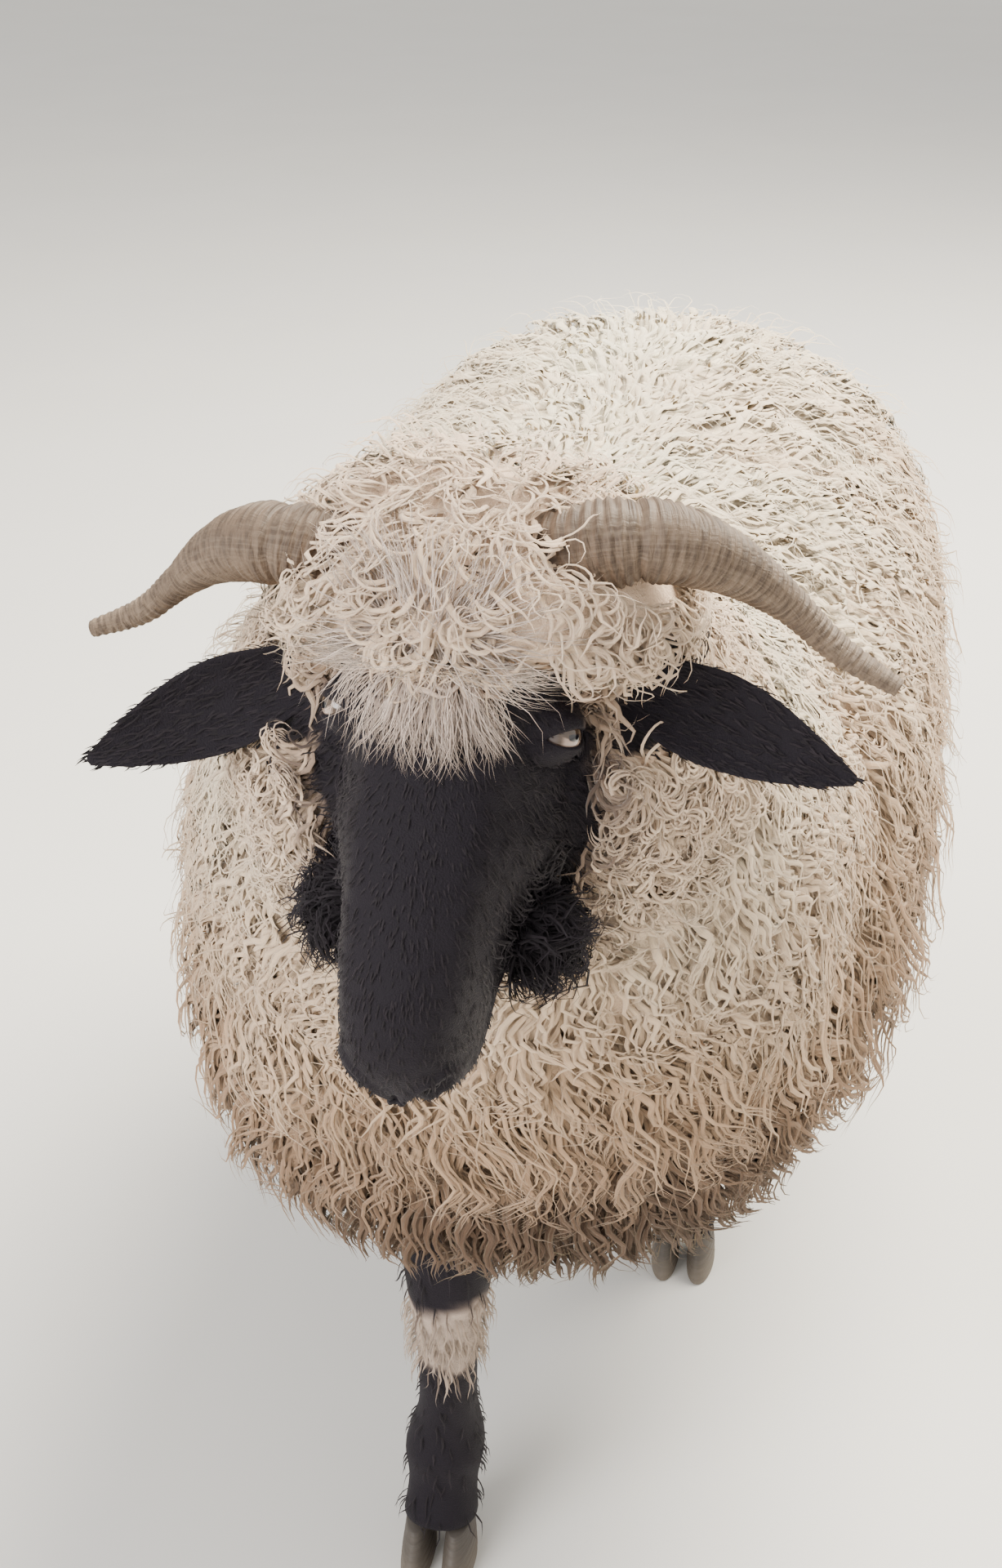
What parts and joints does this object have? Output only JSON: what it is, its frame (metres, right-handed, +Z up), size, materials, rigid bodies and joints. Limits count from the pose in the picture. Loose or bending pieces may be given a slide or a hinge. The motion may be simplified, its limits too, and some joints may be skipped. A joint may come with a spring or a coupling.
{
  "type": "valais blacknose sheep",
  "caption": "Life-size horned mountain sheep with a long curly white fleece, black face, ears and knees, walking.",
  "frame": {"origin": "on the floor, below the middle of the sheep's bounding box", "axes": "+Z up, -Y the way the sheep faces, +X its left side"},
  "size_m": [0.5923, 1.2043, 0.9716],
  "materials": {
    "wool": "long curly wool, cream above and tan below",
    "black_hair": "short dense black hair",
    "leg_hair": "off-white leg hair",
    "horn": "ringed grey-brown horn sheath",
    "hoof": "dark horn",
    "eye": "wet, dark brown"
  },
  "bodies": {
    "root": {"ear_left": "black_hair", "ear_right": "black_hair", "eye_left": "eye", "eye_right": "eye", "foreleg_left": "wool", "foreleg_left_cannon": "leg_hair", "foreleg_left_claw_inner": "hoof", "foreleg_left_claw_outer": "hoof", "foreleg_left_foot": "black_hair", "foreleg_left_knee": "black_hair", "foreleg_right": "wool", "foreleg_right_cannon": "leg_hair", "foreleg_right_claw_inner": "hoof", "foreleg_right_claw_outer": "hoof", "foreleg_right_foot": "black_hair", "foreleg_right_knee": "black_hair", "head": "black_hair", "hindleg_left": "wool", "hindleg_left_cannon": "leg_hair", "hindleg_left_claw_inner": "hoof", "hindleg_left_claw_outer": "hoof", "hindleg_left_foot": "black_hair", "hindleg_left_hock": "black_hair", "hindleg_right": "wool", "hindleg_right_cannon": "leg_hair", "hindleg_right_claw_inner": "hoof", "hindleg_right_claw_outer": "hoof", "hindleg_right_foot": "black_hair", "hindleg_right_hock": "black_hair", "horn_left": "horn", "horn_right": "horn", "neck": "wool", "tail": "wool", "topknot": "wool", "torso_front": "wool", "torso_middle": "wool", "torso_rear": "wool"}
  },
  "joints": []
}
